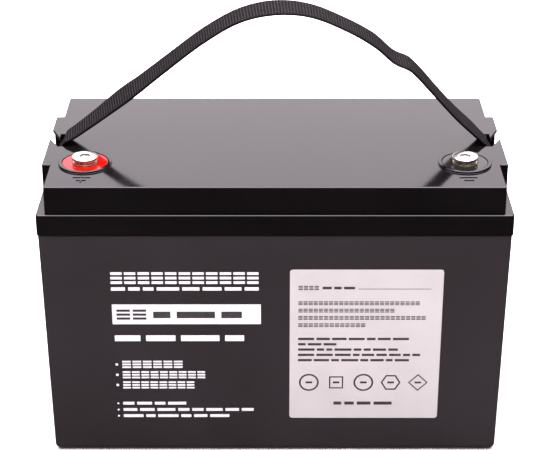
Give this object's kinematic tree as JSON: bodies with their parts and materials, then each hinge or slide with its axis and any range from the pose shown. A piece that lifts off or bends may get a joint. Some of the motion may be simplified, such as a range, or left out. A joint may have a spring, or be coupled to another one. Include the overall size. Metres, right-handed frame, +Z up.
{
  "type": "deep cycle battery",
  "caption": "Sealed lithium battery block with a stepped lid, threaded terminals bolted in round collars and a webbing carry strap that swings over the lid.",
  "frame": {"origin": "centre of the base, on the surface the battery stands on", "axes": "+X along the length towards the negative terminal, -Y towards the labelled front, +Z up"},
  "size_m": [0.33, 0.172, 0.3156],
  "materials": {
    "case_plastic": "satin black moulded case",
    "lid_plastic": "glossy black",
    "red_plastic": "glossy red",
    "black_plastic": "black",
    "webbing": "woven black webbing",
    "steel": "bright plated",
    "brass": "machined",
    "copper": "copper",
    "aluminium": "extruded",
    "rubber": "matt",
    "label_paper": "printed pale grey film",
    "cell_film": "blue shrink film",
    "foam": "closed-cell foam",
    "glass_epoxy": "green board",
    "cable_red": "silicone sleeve",
    "cable_black": "silicone sleeve",
    "sealant": "cured bead"
  },
  "bodies": {
    "root": {"case_body": "case_plastic", "case_lid": "lid_plastic", "lid_sealant": "sealant", "terminal_disc_positive": "red_plastic", "terminal_disc_negative": "black_plastic", "terminal_insert_positive": "brass", "terminal_insert_negative": "brass", "terminal_oring_positive": "rubber", "terminal_oring_negative": "rubber", "terminal_nut_positive": "steel", "terminal_nut_negative": "steel", "strap_end_left": "webbing", "strap_end_right": "webbing", "strap_bar_left": "black_plastic", "strap_bar_right": "black_plastic", "front_label": "label_paper", "cell_1": "cell_film", "cell_2": "cell_film", "cell_3": "cell_film", "cell_4": "cell_film", "cell_spacer_1": "foam", "cell_spacer_2": "foam", "cell_spacer_3": "foam", "end_plate_left": "glass_epoxy", "end_plate_right": "glass_epoxy", "end_foam_left": "foam", "end_foam_right": "foam", "base_pad": "foam", "pack_band_lower": "steel", "pack_band_upper": "steel", "busbar_1": "copper", "busbar_2": "copper", "busbar_3": "copper", "cell_nut_positive": "steel", "cell_nut_negative": "steel", "bms_tray": "black_plastic", "bms_board": "glass_epoxy", "bms_heatsink": "aluminium", "bms_screw_1": "steel", "bms_screw_2": "steel", "bms_screw_3": "steel", "bms_screw_4": "steel", "cell_lug_positive": "copper", "cell_lug_negative": "copper", "terminal_lug_positive": "copper", "terminal_lug_negative": "copper", "cable_positive": "cable_red", "cable_pack_negative": "cable_black", "cable_negative": "cable_black", "sense_harness": "cable_black", "temperature_probe": "cable_black"},
    "strap": {"carry_strap": "webbing"},
    "washers_positive": {"flat_washer_positive": "steel", "spring_washer_positive": "steel"},
    "bolt_positive": {"terminal_bolt_positive": "steel"},
    "washers_negative": {"flat_washer_negative": "steel", "spring_washer_negative": "steel"},
    "bolt_negative": {"terminal_bolt_negative": "steel"}
  },
  "joints": [
    {"name": "strap_swing", "type": "hinge", "parent": "root", "child": "strap", "pos_m": [0, 0, 0.2295], "axis": [1, 0, 0], "range_deg": [-80, 80]},
    {"name": "positive_bolt_lift", "type": "slide", "parent": "root", "child": "washers_positive", "axis": [0, 0, 1], "range_m": [0, 0.015]},
    {"name": "positive_bolt_turn", "type": "hinge", "parent": "washers_positive", "child": "bolt_positive", "pos_m": [-0.1339, -0.0425, 0.21465], "axis": [0, 0, 1], "range_deg": [0, 4320]},
    {"name": "negative_bolt_lift", "type": "slide", "parent": "root", "child": "washers_negative", "axis": [0, 0, 1], "range_m": [0, 0.015]},
    {"name": "negative_bolt_turn", "type": "hinge", "parent": "washers_negative", "child": "bolt_negative", "pos_m": [0.1339, -0.0425, 0.21465], "axis": [0, 0, 1], "range_deg": [0, 4320]}
  ],
  "couplings": [
    {"joint": "positive_bolt_turn", "follows": "positive_bolt_lift", "rad_per_m": 5026.5},
    {"joint": "negative_bolt_turn", "follows": "negative_bolt_lift", "rad_per_m": 5026.5}
  ]
}
